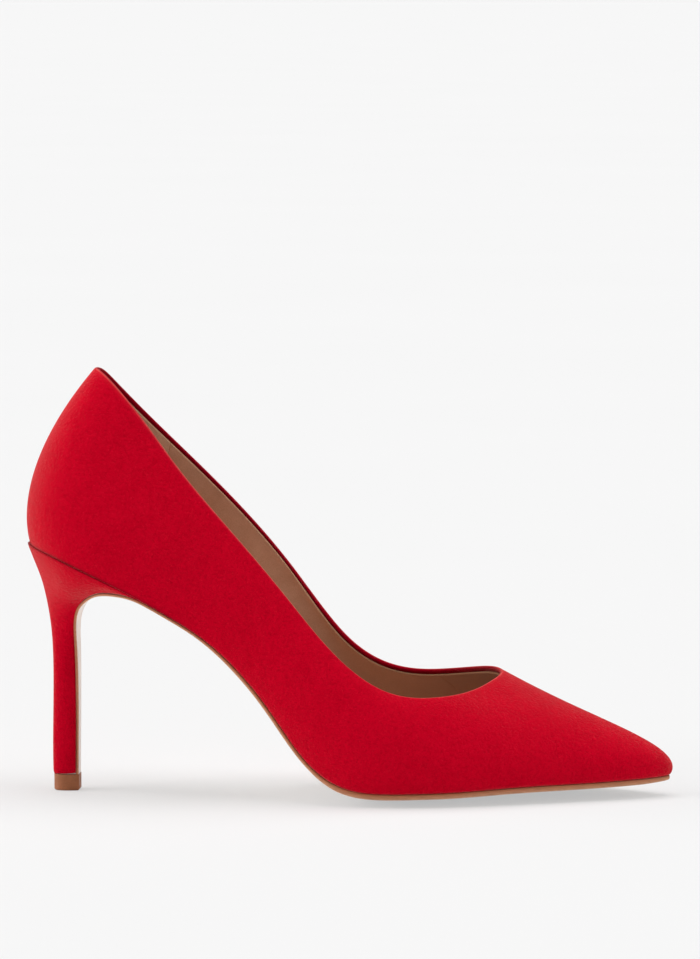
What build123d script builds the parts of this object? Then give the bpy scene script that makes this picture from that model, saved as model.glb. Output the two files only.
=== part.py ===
from build123d import *
import os
import numpy as np
from functools import lru_cache
from math import atan, comb, cos, degrees, pi
from scipy.interpolate import CubicSpline
from scipy.optimize import brentq

# High heel pump, right foot, sizes in millimetres.
# Toe towards +X, inner (medial) side towards +Y, floor at z = 0.
# The upper is laid out on one master skin. u runs round the shoe: back seam, outer side,
# toe, inner side, back seam. v runs from the feather edge (foot of the wall) to the topline.

# Driving dimensions
SUEDE = 1.1
FOLD_STEP = 0.7
FOLD_WIDTH = 8.0
LINING = 0.8
LINING_DROP = 1.5
STIFFENER = 0.6
GAP = 0.05
SEAM_GAP = 0.03
SOLE_TOE = 1.4
SOLE_FOREPART = 2.0
SOLE_SHANK = 1.3
SOLE_ARCH = 1.0
SOLE_FLAP = 1.0
CROWN = 0.0023
BOARD = 1.4
TUCK_BOARD = 2.2
SHANK_WIDTH = 10.0
SHANK_THICK = 1.2
SHANK_START = 21.0
SHANK_END = 112.0
FOAM = 2.0
SOCK = 0.8
HEEL_COVER = 0.8
TOP_PIECE_HEIGHT = 5.8
TUBE_X = 13.6
TUBE_RADIUS = 2.6
TUBE_BORE = 1.65
TUBE_TOP = 62.0
PIN_RADIUS = 1.6
PIN_LOW = 2.0
PIN_TOP = 16.0
WING_TIP = 46.0

# Fasteners: x, y, lowest z, underside of head, top of head, shank radius, head radius
HEEL_SCREW = (14.5, 0, 66.0, 88.2, 89.4, 2.0, 3.5)
HEEL_NAILS = [(17.5, 6, 73.0, 87.7, 88.7, 0.8, 2.0), (17.5, -6, 73.0, 87.7, 88.7, 0.8, 2.0),
              (27.0, 10.5, 75.0, 83.5, 84.5, 0.8, 2.0), (27.0, -10.5, 75.0, 83.5, 84.5, 0.8, 2.0)]
RIVET_X = (32.0, 86.0)

# Height of the feather edge along the shoe: heel seat, steep shank, ball, toe spring
SEAT_LINE = [(-6, 90.9), (0, 89.6), (10, 86.7), (22, 81.8), (34, 76.3), (45, 70.7), (55, 65.0), (66, 57.8),
             (76, 49.0), (83, 41.4), (90, 32.4), (97, 22.4), (104, 13.6), (112, 7.1), (120, 3.7), (130, 2.2),
             (142, 2.0), (156, 2.5), (172, 4.0), (190, 5.3), (207, 6.3), (221, 6.9), (232, 7.3), (238, 7.6)]

# Front of the heel, from near the tip of its wings, over the arch and down to the top piece
BREAST_LINE = [(40.0, 72.5), (33.0, 73.5), (27.0, 72.9), (22.3, 70.3), (18.9, 66.4), (17.5, 61.0),
               (17.5, 54.0), (17.8, 40.0), (17.75, 22.0), (17.6, 2.0)]
BREAST_HALF = [25.5, 23.2, 19.4, 14.3, 10.0, 7.2, 5.8, 4.4, 3.8, 3.3]

# Four control loops of the master skin, stations from the back seam to the toe
STATION_U = [0, 0.9, 1.8, 3.0, 4.5, 6.1, 7.7, 9.3, 10.9, 12.6, 14.3, 15.6, 16.5]
FEATHER_OUTER = [(1.3, 0), (4.6, -13), (13.5, -22), (30, -26.8), (52, -27), (76, -26.8), (100, -32),
                 (124, -37.5), (148, -36.5), (174, -28.5), (200, -17.5), (221, -7.5), (231.2, 2.5)]
FEATHER_INNER = [(4.6, 13), (13.5, 22), (30, 26.8), (52, 25.8), (76, 22.3), (100, 26),
                 (124, 34.5), (148, 38.5), (174, 34.5), (200, 23.5), (221, 12.3)]
BULGE_OUTER = [(-3.1, 0, 104.5), (0.8, -14, 103.5), (11, -24.5, 101.5), (30, -30.5, 95.5), (53, -31.5, 84.5),
               (77, -31.5, 65), (100.5, -37, 38), (122, -43, 20), (145.5, -41.5, 15.5), (172, -33, 14),
               (198, -21.5, 14.5), (220.5, -12.4, 16.6), (238.4, 2.7, 18)]
BULGE_INNER = [(0.8, 14, 103.5), (11, 24.5, 101.5), (30, 30.2, 96), (53, 30.2, 86), (77, 28.5, 67.5),
               (100.5, 32.5, 41), (122, 40, 22), (145.5, 42.5, 16.5), (172, 38, 15), (198, 27, 15),
               (220.5, 16.9, 16.8)]
SHOULDER_OUTER = [(3.2, 0, 127.5), (7, -10.5, 127), (16.5, -18, 124), (35, -22.5, 113.5), (55, -25.5, 98.5),
                  (76, -28, 81), (97.5, -33, 57), (119, -38.5, 38.5), (140.5, -38, 31), (163.5, -28.5, 31),
                  (184, -16, 30.2), (198, -6, 28.5), (203, 1.8, 26.9)]
SHOULDER_INNER = [(7, 10.5, 127), (16.5, 18, 124.3), (35, 22.5, 114.5), (55, 25.5, 100.5), (76, 28, 84),
                  (97.5, 32.5, 60), (119, 38.5, 40.5), (140.5, 38.5, 33), (163.5, 29.5, 33), (184, 18, 31.1),
                  (198, 9.5, 28.9)]
TOPLINE_OUTER = [(25, 0, 152.9), (27, -4.5, 152), (32.2, -8.8, 147.9), (43, -13.5, 135.9),
                 (57.5, -18.5, 117.4), (75, -22.5, 97.5), (94, -26, 75.9), (113, -30.5, 54.2),
                 (131.5, -31.5, 41), (149, -26, 38.4), (161.6, -15.5, 39.9), (168.2, -6.5, 42.6),
                 (170.6, 0.8, 44.3)]
TOPLINE_INNER = [(27, 4.5, 152), (32.2, 8.8, 146.4), (43, 13.5, 134.6), (57.5, 18.5, 119.6),
                 (75, 22.5, 101.3), (94, 26, 78.4), (113, 30, 53.4), (131.5, 31.5, 42.5),
                 (149, 26.5, 42.2), (161.3, 16.5, 44.4), (168.4, 8, 45.2)]
HEEL_GRIP_U = 3.8
COUNTER_U = 4.7
VAMP_U = 12.3
PUFF_U = 14.0
PUFF_V = 0.55

# Heel: level curves from above the seat down to the tip, each from the back centre past the breast
HEEL_LEVELS = [
    [(0.3, 0, 100), (4.2, 13.2, 100), (13.2, 22.3, 100), (30, 26.9, 100), (46.5, 26.6, 100), (53, 26.6, 100)],
    [(0.2, 0, 89.5), (4.2, 13.2, 88.5), (13.2, 22.3, 85.4), (30, 26.9, 78.2), (46.5, 26.8, 69.2),
     (53, 26.6, 63)],
    [(2.7, 0, 83.0), (6.2, 11.6, 82.2), (13.8, 19.7, 79.6), (25.8, 23.8, 76.4), (37, 24.8, 72.6),
     (43, 25.8, 68.8)],
    [(5.1, 0, 76.5), (8.2, 9.2, 75.4), (14.2, 15.2, 74), (20.8, 18.2, 73.1), (26.6, 19.3, 72.4),
     (32, 21.3, 70.8)],
    [(7.4, 0, 66.5), (9.0, 4.9, 66.5), (12.6, 8.0, 66.6), (16.2, 9.7, 66.8), (19.4, 10.5, 66.9),
     (23, 12.0, 66)],
    [(8.7, 0, 57), (9.7, 3.5, 57), (12.3, 5.4, 57), (15.0, 6.2, 57), (17.5, 6.2, 57), (20.6, 6.1, 57)],
    [(9.2, 0, 35), (10.0, 2.9, 35), (12.4, 4.2, 35), (15.2, 4.5, 35), (18.0, 4.2, 35), (21.0, 3.9, 35)],
    [(9.3, 0, 2), (10.1, 2.8, 2), (12.4, 3.9, 2), (15.2, 4.0, 2), (18.0, 3.5, 2), (21.0, 3.1, 2)],
]
LEVEL_V = [0, 2.0, 2.8, 3.9, 5.6, 7.2, 10.2, 14.6]
ROUND_U = [0, 1.3, 2.5, 4.0, 5.4, 6.2]
HEEL_US = [-6.2, -2.5, 0, 2.5, 6.2]
HEEL_VS = [0, 2.8, 6.4, 14.6]

# Sizes that follow from those above
TURN = 2 * STATION_U[-1]
LINING_DEPTH = SUEDE + FOLD_STEP + GAP
LINING_LIFT = SUEDE + GAP
BOARD_LOW = LINING_LIFT + LINING + GAP
TUCK_LOW = BOARD_LOW + BOARD + GAP
BOARD_INSET = LINING_DEPTH + LINING + 0.4


# Master skin of the upper
def loop(outer, inner):
    """Closed smooth curve through the outer stations and, back again, the inner ones."""
    us = STATION_U + [TURN - u for u in reversed(STATION_U[1:-1])] + [TURN]
    return CubicSpline(us, np.array(outer + inner[::-1] + outer[:1], float), bc_type="periodic")


feather_plan = loop(FEATHER_OUTER, FEATHER_INNER)
bulge = loop(BULGE_OUTER, BULGE_INNER)
shoulder = loop(SHOULDER_OUTER, SHOULDER_INNER)
topline = loop(TOPLINE_OUTER, TOPLINE_INNER)
seat_height = CubicSpline([x for x, z in SEAT_LINE], [z for x, z in SEAT_LINE])
seat_slope = seat_height.derivative()


def unit(vec):
    return vec / np.linalg.norm(vec)


def seat_cos(x):
    return 1 / np.sqrt(1 + seat_slope(x) ** 2)


def fade(x, start, stop):
    """1 before start, 0 past stop, smooth between."""
    t = min(1.0, max(0.0, (stop - x) / (stop - start)))
    return t * t * (3 - 2 * t)


def crown(x):
    return CROWN * (1 - fade(x, 60, 160)) * fade(x, 185, 235)


def seat(x, y):
    """Bottom of the last: the seat line, rounded up to both sides under the forepart."""
    return seat_height(x) + crown(x) * y * y


def feather(u):
    """Feather edge: the plan outline lifted to the bottom of the last."""
    x, y = feather_plan(u)
    return np.array([x, y, seat(x, y)])


def feather_turn(u):
    return (feather(u + 1e-4) - feather(u - 1e-4)) / 2e-4


def on_wall(u, v, depth):
    """Point of the wall at the given depth inside the master skin."""
    rails = (feather(u), bulge(u), shoulder(u), topline(u))
    turns = (feather_turn(u), bulge(u, 1), shoulder(u, 1), topline(u, 1))
    weight = [comb(3, i) * v ** i * (1 - v) ** (3 - i) for i in range(4)]
    point = sum(w * p for w, p in zip(weight, rails))
    along = sum(w * p for w, p in zip(weight, turns))
    rise = sum(comb(2, i) * v ** i * (1 - v) ** (2 - i) * (rails[i + 1] - rails[i]) for i in range(3))
    return point - depth * unit(np.cross(along, rise))


@lru_cache(None)
def wall_foot(u, depth, lift):
    """v at which a layer of the wall is the given height above the seat line."""
    def height(v):
        x, y, z = on_wall(u, v, depth)
        return z - seat(x, y) - lift / seat_cos(x)
    return 0.0 if depth == lift == 0 else brentq(height, -0.12, 0.4)


def wall_head(u, drop):
    """v at which the skin is the given distance below the topline."""
    return 1 - drop / (3 * np.linalg.norm(topline(u) - shoulder(u)))


def margin_edge(u, shrink=0.0):
    """Inner edge of the lasting margin, in plan."""
    x, y = feather_plan(u)
    return np.array([116 + (x - 116) * (0.92 - shrink), y * (0.58 - shrink) + 0.01 * max(0, x - 60)])


def margin(u, q, depth, lift):
    """Lasting margin from its inner edge (q = 0) to the foot of the wall (q = 1)."""
    foot = on_wall(u, wall_foot(u, depth, lift), depth)
    x, y = margin_edge(u) + (foot[:2] - margin_edge(u)) * q
    return np.array([x, y, seat(x, y) + lift / seat_cos(x)])


# Patches that pass through a grid of computed points
def nodes(count):
    return [(1 - cos(pi * i / (count - 1))) / 2 for i in range(count)]


def bernstein_inverse(count):
    top = count - 1
    rows = [[comb(top, j) * t ** j * (1 - t) ** (top - j) for j in range(count)] for t in nodes(count)]
    return np.linalg.inv(rows)


def net(point_at, ua, ub, nu, nv):
    """Control net of the patch through point_at(u, q), u from ua to ub and q from 0 to 1."""
    grid = np.array([[point_at(ua + (ub - ua) * a, b) for b in nodes(nv)] for a in nodes(nu)])
    return np.einsum("ij,jkc,lk->ilc", bernstein_inverse(nu), grid, bernstein_inverse(nv))


def patch(control):
    return Face.make_bezier_surface([[tuple(p) for p in row] for row in control])


def rim(edge_a, edge_b):
    return patch(np.stack([edge_a, edge_b]))


def quilt(breaks, rows, cells=None, closed=False, nu=10, nv=7):
    """Solid between outer and inner patches. Open sides are closed with ruled rims."""
    spans = len(breaks) - 1
    cells = cells or [(i, j) for i in range(spans) for j in range(len(rows))]
    nets = {(i, j): [net(side, breaks[i], breaks[i + 1], nu, nv) for side in rows[j]] for i, j in cells}
    faces = []
    for (i, j), (outer, inner) in nets.items():
        faces += [patch(outer), patch(inner)]
        before = (i - 1) % spans if closed else i - 1
        after = (i + 1) % spans if closed else i + 1
        if (before, j) not in nets:
            faces.append(rim(outer[0], inner[0]))
        if (after, j) not in nets:
            faces.append(rim(outer[-1], inner[-1]))
        if (i, j - 1) not in nets:
            faces.append(rim(outer[:, 0], inner[:, 0]))
        if (i, j + 1) not in nets:
            faces.append(rim(outer[:, -1], inner[:, -1]))
        elif not np.allclose(inner[:, -1], nets[i, j + 1][1][:, 0], atol=1e-6):
            faces.append(rim(inner[:, -1], nets[i, j + 1][1][:, 0]))
    return Solid(Shell(faces))


def spread(start, stop, count):
    return [start + (stop - start) * i / count for i in range(count + 1)]


def wall_row(depth, low, high):
    """Wall between two v positions, each given as a function of u."""
    return lambda u, q: on_wall(u, low(u) + (high(u) - low(u)) * q, depth)


def margin_row(depth, lift):
    return lambda u, q: margin(u, q, depth, lift)


def make_upper():
    """Suede upper in one piece: lasting margin, wall, and topline folded over."""
    fold = lambda u: wall_head(u, FOLD_WIDTH)
    edge = lambda u: 1.0
    rows = [(margin_row(0, 0), margin_row(SUEDE, SUEDE)),
            (wall_row(0, lambda u: 0.0, fold), wall_row(SUEDE, lambda u: wall_foot(u, SUEDE, SUEDE), fold)),
            (wall_row(0, fold, edge), wall_row(SUEDE + FOLD_STEP, fold, edge))]
    return quilt(spread(0, TURN, 10), rows, closed=True)


def make_lining(ua, ub, spans):
    """Lining piece with its own lasting margin, butted to its neighbours."""
    high = lambda u: wall_head(u, LINING_DROP)
    outside, inside = LINING_DEPTH, LINING_DEPTH + LINING
    low_out = lambda u: wall_foot(u, outside, LINING_LIFT)
    low_in = lambda u: wall_foot(u, inside, LINING_LIFT + LINING)
    rows = [(margin_row(outside, LINING_LIFT), margin_row(inside, LINING_LIFT + LINING)),
            (wall_row(outside, low_out, high), wall_row(inside, low_in, high))]
    return quilt(spread(ua, ub, spans), rows)


def stiff_row(low, high):
    depth = SUEDE + GAP
    return (wall_row(depth, low, high), wall_row(depth + STIFFENER, low, high))


def stiff_low(u):
    return wall_foot(u, SUEDE, SUEDE + 0.6)


def stiff_high(u):
    return wall_head(u, FOLD_WIDTH + 0.5)


def make_interlining():
    """Cloth backing of the quarters and the vamp, cut out round the toe puff."""
    start, corner = COUNTER_U + 0.1, PUFF_U - 0.1
    split = lambda u: PUFF_V + 0.01
    breaks = [start, 8.0, 11.0, corner, TURN / 2, TURN - corner, TURN - 11.0, TURN - 8.0, TURN - start]
    cells = [(i, 1) for i in range(8)] + [(i, 0) for i in (0, 1, 2, 5, 6, 7)]
    return quilt(breaks, [stiff_row(stiff_low, split), stiff_row(split, stiff_high)], cells)


# Flat layers of the bottom: plates that follow the seat line across a plan outline
def inset_outline(inset):
    """Feather edge moved inwards, as a function of u."""
    def outline(u):
        dx, dy = unit(feather_plan(u, 1))
        return feather_plan(u) + inset * np.array([-dy, dx])
    return outline


def half_widths(outline):
    """y of the outline at a given x, on the outer and on the inner side."""
    def at(x, start):
        return outline(brentq(lambda u: outline(u)[0] - x, start, start + TURN / 2))[1]
    return (lambda x: at(x, 0)), (lambda x: at(x, TURN / 2))


def plate(x_at, sides, low, high, spans=5):
    """Plate between two heights above the seat line. x_at(t) places the cross lines."""
    def surface(lift):
        def point_at(t, q):
            x = x_at(t)
            y = sides[0](x) + (sides[1](x) - sides[0](x)) * q
            return np.array([x, y, seat(x, y) + lift(x) / seat_cos(x)])
        return point_at
    return quilt(spread(0.015, 0.985, spans), [(surface(high), surface(low))], nu=12, nv=3)


def full_length(outline, short=0.0):
    """Cross lines from heel to toe, crowded towards the two rounded ends."""
    back, tip = outline(0)[0], outline(TURN / 2)[0] - short
    return lambda t: back + (tip - back) * (1 - cos(pi * t)) / 2


def to_ball(outline, stop):
    back = outline(0)[0]
    return lambda t: back + (stop - back) * (1 - cos(pi * t / 2))


def layer(inset, short, low, high):
    outline = inset_outline(inset)
    return plate(full_length(outline, short), half_widths(outline), low, high)


def side_prism(edges):
    return Solid.extrude(Face(Wire(edges)), Vector(0, 120, 0)).moved(Location((0, -60, 0)))


def lifted(x, lift):
    """Point in side view at a height square to the seat line."""
    return (x - lift * seat_slope(x) * seat_cos(x), seat_height(x) + lift * seat_cos(x))


def box(xa, xb, ya, yb, za, zb):
    return Solid.make_box(xb - xa, yb - ya, zb - za).moved(Location((xa, ya, za)))


def rod(x, y, z_low, z_high, radius):
    return Solid.make_cylinder(radius, z_high - z_low).moved(Location((x, y, z_low)))


def tuck_high(x):
    """The tuck board is skived away at the ball joint."""
    return TUCK_LOW + 0.3 + (TUCK_BOARD - 0.3) * fade(x, 102, 126)


def foam_low(x):
    return TUCK_LOW + (TUCK_BOARD + 0.1) * fade(x, 108, 142)


def pin(size):
    x, y, z_low, z_head, z_top, radius, head = size
    return rod(x, y, z_low, z_head, radius) + rod(x, y, z_head, z_top, head)


def pin_room(size):
    """Hole for a pin and the pocket over its head."""
    x, y, z_low, z_head, z_top, radius, head = size
    return rod(x, y, z_low - GAP, z_head, radius + GAP) + rod(x, y, z_head - GAP, 100, head + GAP)


def rivet(x, clear):
    """Flat-headed rivet through the insole board and the shank, square to the seat."""
    height = TUCK_LOW + SHANK_THICK + 2 * GAP - BOARD_LOW
    px, pz = lifted(x, BOARD_LOW - clear)
    stem = Solid.make_cylinder(1.5 + clear, height + clear)
    head = Solid.make_cylinder(3.0 + clear, 0.75).moved(Location((0, 0, height + clear)))
    return (stem + head).moved(Location((px, 0, pz), (0, -degrees(atan(seat_slope(x))), 0)))


def make_shank():
    half = SHANK_WIDTH / 2
    sides = (lambda x: -half, lambda x: half)
    place = lambda t: SHANK_START + (SHANK_END - SHANK_START) * t
    return plate(place, sides, lambda x: TUCK_LOW + GAP, lambda x: TUCK_LOW + GAP + SHANK_THICK)


def shank_slot():
    half = SHANK_WIDTH / 2 + 0.1
    return box(SHANK_START - 0.3, SHANK_END + 0.3, -half, half, -20, 140)


# Outsole and heel
def run_spline(points):
    """Smooth curve through the points, measured by its running length."""
    points = np.array(points, float)
    steps = np.linalg.norm(np.diff(points, axis=0), axis=1)
    return CubicSpline(np.concatenate([[0], np.cumsum(steps)]), points)


# Upper face of the outsole: under the forepart and waist, over the arch, down the breast
SOLE_FORWARD = [lifted(x, -GAP) for x in spread(236, 52, 46)]
sole_path = run_spline(SOLE_FORWARD + BREAST_LINE)
SOLE_RUN = sole_path.x[-1]


def run_at(x):
    """Running length of the sole path at a given x, ahead of the wings."""
    return brentq(lambda run: sole_path(run)[0] - x, 0, sole_path.x[47])


WING_RUN = run_at(WING_TIP)
SOLE_SIZES = [(0, SOLE_TOE), (14, SOLE_FOREPART), (run_at(115), SOLE_FOREPART), (run_at(105), SOLE_SHANK),
              (run_at(78), SOLE_SHANK), (run_at(62), SOLE_ARCH), (WING_RUN + 12, SOLE_ARCH),
              (WING_RUN + 40, SOLE_FLAP), (SOLE_RUN, SOLE_FLAP)]


def sole_point(run, depth):
    """Point of the sole path moved towards the walking side."""
    x, z = sole_path(run)
    dx, dz = unit(sole_path(run, 1))
    return (x - dz * depth, z + dx * depth)


def sole_thickness(run):
    return float(np.interp(run, [stop for stop, size in SOLE_SIZES], [size for stop, size in SOLE_SIZES]))


def cut_prism(points, corners):
    """Prism across the shoe bounded by a smooth curve and straight lines through the corners."""
    curve = Edge.make_spline([(x, 0, z) for x, z in points])
    stops = [curve @ 1] + [Vector(x, 0, z) for x, z in corners] + [curve @ 0]
    lines = [Edge.make_line(a, b) for a, b in zip(stops, stops[1:])]
    return side_prism([curve] + lines)


def below_breast():
    """Everything under the waist and ahead of the heel's front face."""
    points = [sole_point(run, -GAP) for run in spread(sole_path.x[38], SOLE_RUN, 60)]
    return cut_prism(points, [(18, -5), (points[0][0], -5)])


def above_seat():
    points = [lifted(x, -GAP) for x in spread(-6, 75, 24)]
    return cut_prism(points, [(75, 140), (-10, 140)])


# Heel skin: u from the outer side round the back to the inner side, v from the seat down
HEEL_GRID = np.array([[(x, -y, z) for x, y, z in level[:0:-1]] + level for level in HEEL_LEVELS], float)
HEEL_STATIONS = [-u for u in ROUND_U[:0:-1]] + ROUND_U
heel_skin = CubicSpline(LEVEL_V, HEEL_GRID, axis=0)


def heel_point(u, v, depth):
    across = CubicSpline(HEEL_STATIONS, heel_skin(v))
    down = CubicSpline(HEEL_STATIONS, heel_skin(v, 1))
    point = across(u) - depth * unit(np.cross(across(u, 1), down(u)))
    if v in (0, LEVEL_V[-1]):
        point[2] = HEEL_LEVELS[0 if v == 0 else -1][0][2]
    return point


def heel_row(j, depth):
    low, span = HEEL_VS[j], HEEL_VS[j + 1] - HEEL_VS[j]
    return lambda u, q: heel_point(u, low + span * q, depth)


def heel_body(depth):
    """Closed body inside the heel skin, capped at the top, the bottom and the front."""
    nets = {(i, j): net(heel_row(j, depth), HEEL_US[i], HEEL_US[i + 1], 9, 9)
            for i in range(4) for j in range(3)}
    faces = [patch(control) for control in nets.values()]
    faces += [rim(nets[0, j][0], nets[3, j][-1]) for j in range(3)]
    for j, end in ((0, 0), (2, -1)):
        edges = [Edge.make_bezier(*[tuple(p) for p in nets[i, j][:, end]]) for i in range(4)]
        edges.append(Edge.make_line(edges[-1] @ 1, edges[0] @ 0))
        faces.append(Face(Wire(edges)))
    return Solid(Shell(faces))


def make_heel_cover():
    return quilt(HEEL_US, [(heel_row(j, 0), heel_row(j, HEEL_COVER)) for j in range(3)], nu=9, nv=9)


def make_outsole():
    """Sole with its own flap down the heel breast, one plate bent along the sole path."""
    outer, inner = half_widths(inset_outline(0.1))
    tip, wing = run_at(feather_plan(TURN / 2)[0] - 0.25), WING_RUN
    end = brentq(lambda run: sole_path(run)[1] - TOP_PIECE_HEIGHT - GAP, SOLE_RUN - 20, SOLE_RUN)
    flap = run_spline(BREAST_LINE).x + sole_path.x[-len(BREAST_LINE)]
    breast_half = CubicSpline(np.concatenate([[wing], flap]), [outer(WING_TIP)] + [-y for y in BREAST_HALF])

    def place(t):
        if t <= 1:
            run = tip + (wing - tip) * t * t
            x = sole_path(run)[0]
            return run, outer(x), inner(x)
        run = wing + (end - wing) * (t - 1)
        side = float(breast_half(run))
        uneven = (inner(WING_TIP) + outer(WING_TIP)) * max(0, 1 - (t - 1) * 6)
        return run, side, uneven - side

    def surface(thickness):
        def point_at(t, q):
            run, y_outer, y_inner = place(t)
            x, z = sole_point(run, thickness(run))
            y = y_outer + (y_inner - y_outer) * q
            return np.array([x, y, z + crown(sole_path(run)[0]) * y * y])
        return point_at

    breaks = [0, 0.35, 0.6, 0.8, 1, 1.15, 1.3, 1.5, 2]
    return quilt(breaks, [(surface(lambda run: 0), surface(sole_thickness))], nu=12, nv=3)


def make_top_piece():
    """Walking tip of the heel, D shaped, with its walking edge eased."""
    half = [(10.2, 2.8), (12.3, 4.0), (15.2, 4.1), (18.75, 3.4)]
    outline = [(x, -y, 0) for x, y in half[::-1]] + [(9.4, 0, 0)] + [(x, y, 0) for x, y in half]
    back = Edge.make_spline(outline)
    face = Face(Wire([back, Edge.make_line(back @ 1, back @ 0)]))
    tip = Solid.extrude(face, Vector(0, 0, TOP_PIECE_HEIGHT))
    return chamfer(tip.edges().group_by(Axis.Z)[0], 0.4)


def cut(shape, *tools):
    for tool in tools:
        shape = shape - tool
    return shape


def make_parts():
    parts = {}
    parts["upper"] = make_upper()
    parts["heel_grip"] = make_lining(SEAM_GAP - HEEL_GRIP_U, HEEL_GRIP_U - SEAM_GAP, 3)
    parts["quarter_lining_outer"] = make_lining(HEEL_GRIP_U, VAMP_U, 4)
    parts["vamp_lining"] = make_lining(VAMP_U + SEAM_GAP, TURN - VAMP_U - SEAM_GAP, 4)
    parts["quarter_lining_inner"] = make_lining(TURN - VAMP_U, TURN - HEEL_GRIP_U, 4)
    parts["heel_counter"] = quilt(spread(-COUNTER_U, COUNTER_U, 4), [stiff_row(stiff_low, stiff_high)])
    puff = stiff_row(stiff_low, lambda u: PUFF_V)
    parts["toe_puff"] = quilt(spread(PUFF_U, TURN - PUFF_U, 2), [puff])
    parts["vamp_interlining"] = make_interlining()

    over, breast = above_seat(), below_breast()
    tip_room = box(-10, 60, -40, 40, -10, TOP_PIECE_HEIGHT + GAP)
    pins = [pin_room(size) for size in [HEEL_SCREW] + HEEL_NAILS]
    rivet_rooms = [rivet(x, GAP) for x in RIVET_X]
    tube = rod(TUBE_X, 0, TOP_PIECE_HEIGHT + GAP, TUBE_TOP, TUBE_RADIUS)
    tube_room = rod(TUBE_X, 0, 0, TUBE_TOP + GAP, TUBE_RADIUS + GAP)
    parts["heel_block"] = cut(heel_body(HEEL_COVER + GAP), over, breast, tip_room, tube_room, *pins)
    parts["heel_cover"] = cut(make_heel_cover(), over, breast, tip_room)
    parts["heel_tube"] = tube - rod(TUBE_X, 0, 0, 100, TUBE_BORE)
    parts["top_piece"] = make_top_piece() - rod(TUBE_X, 0, PIN_LOW - GAP, 30, PIN_RADIUS + GAP)
    parts["top_piece_pin"] = rod(TUBE_X, 0, PIN_LOW, PIN_TOP, PIN_RADIUS)
    parts["heel_screw"] = pin(HEEL_SCREW)
    parts["heel_nails"] = Compound([pin(size).solid() for size in HEEL_NAILS])

    filler_outline = lambda u: margin_edge(u, 0.02)
    filler = plate(full_length(filler_outline), half_widths(filler_outline),
                   lambda x: GAP, lambda x: LINING_LIFT + LINING)
    parts["bottom_filler"] = cut(filler, *pins)
    board = layer(BOARD_INSET, 0, lambda x: BOARD_LOW, lambda x: BOARD_LOW + BOARD)
    parts["insole_board"] = cut(board, *pins, *rivet_rooms)
    tuck_outline = inset_outline(BOARD_INSET + 0.4)
    tuck = plate(to_ball(tuck_outline, 126), half_widths(tuck_outline), lambda x: TUCK_LOW, tuck_high)
    parts["tuck_board"] = cut(tuck, shank_slot(), *pins)
    parts["steel_shank"] = cut(make_shank(), *rivet_rooms)
    parts["shank_rivets"] = Compound([rivet(x, 0).solid() for x in RIVET_X])
    parts["sock_foam"] = layer(BOARD_INSET + 1.5, 8, lambda x: foam_low(x) + GAP,
                               lambda x: foam_low(x) + FOAM)
    parts["sock_lining"] = layer(BOARD_INSET + 0.5, 8, lambda x: foam_low(x) + FOAM + GAP,
                                 lambda x: foam_low(x) + FOAM + SOCK)
    parts["outsole"] = make_outsole()
    return parts


os.makedirs("parts", exist_ok=True)
all_parts = make_parts()
whole = Compound([solid for shape in all_parts.values() for solid in shape.solids()]).bounding_box()
home = Location((-whole.center().X, -whole.center().Y, -whole.min.Z))
for name, shape in all_parts.items():
    solids = shape.solids()
    for solid in solids:
        assert solid.is_valid and solid.volume > 0, name
    print(name, len(solids), round(sum(solid.volume for solid in solids), 1))
    body = solids[0] if len(solids) == 1 else Compound(solids)
    export_step(body.moved(home), "parts/" + name + ".step")
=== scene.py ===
from math import comb, cos, pi, radians, sin

import bmesh
import bpy
import numpy as np
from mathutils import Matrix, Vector


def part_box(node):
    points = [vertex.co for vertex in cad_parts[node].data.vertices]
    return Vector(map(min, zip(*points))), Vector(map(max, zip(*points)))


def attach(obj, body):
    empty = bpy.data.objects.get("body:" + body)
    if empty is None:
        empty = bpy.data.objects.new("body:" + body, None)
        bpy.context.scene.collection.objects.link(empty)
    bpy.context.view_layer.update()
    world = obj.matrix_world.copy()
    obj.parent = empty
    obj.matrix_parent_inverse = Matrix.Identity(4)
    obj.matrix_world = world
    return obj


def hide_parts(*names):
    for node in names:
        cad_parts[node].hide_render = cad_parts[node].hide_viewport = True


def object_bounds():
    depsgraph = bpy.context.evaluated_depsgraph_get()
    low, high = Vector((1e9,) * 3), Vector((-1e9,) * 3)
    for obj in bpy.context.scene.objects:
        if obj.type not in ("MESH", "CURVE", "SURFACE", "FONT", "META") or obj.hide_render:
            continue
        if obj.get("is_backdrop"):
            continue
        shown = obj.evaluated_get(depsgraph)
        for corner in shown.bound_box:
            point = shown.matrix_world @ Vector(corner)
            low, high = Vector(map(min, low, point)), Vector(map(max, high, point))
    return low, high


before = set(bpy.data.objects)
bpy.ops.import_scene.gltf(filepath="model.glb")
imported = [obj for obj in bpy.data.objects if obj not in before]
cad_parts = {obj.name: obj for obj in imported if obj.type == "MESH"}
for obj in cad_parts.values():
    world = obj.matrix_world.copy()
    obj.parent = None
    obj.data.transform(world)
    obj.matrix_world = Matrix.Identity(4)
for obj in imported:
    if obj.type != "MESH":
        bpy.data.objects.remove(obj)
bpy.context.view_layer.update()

# High heel pump. Shapes are worked out in millimetres in the last's own frame (back seam near
# x = 0, toe towards +X, inner side towards +Y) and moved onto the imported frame.
# u runs round the shoe: back seam, outer side, toe, inner side, back seam.
# v runs from the feather edge (foot of the wall) at 0 to the topline at 1.

# Layers: thickness, and the width or drop of their edges
SUEDE = 1.1
FOLD = 1.8
FOLD_WIDTH = 8.0
LINING = 0.8
LINING_DROP = 1.5
STIFFENER = 0.6
GAP = 0.05
BOARD = 1.4
BOARD_PLAY = 0.4
TUCK_BOARD = 2.2
TUCK_BOARD_ENDS = (108, 142)
FOAM = 2.0
SOCK = 0.8
HEEL_COVER = 0.8
TOP_PIECE = 5.8

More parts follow.
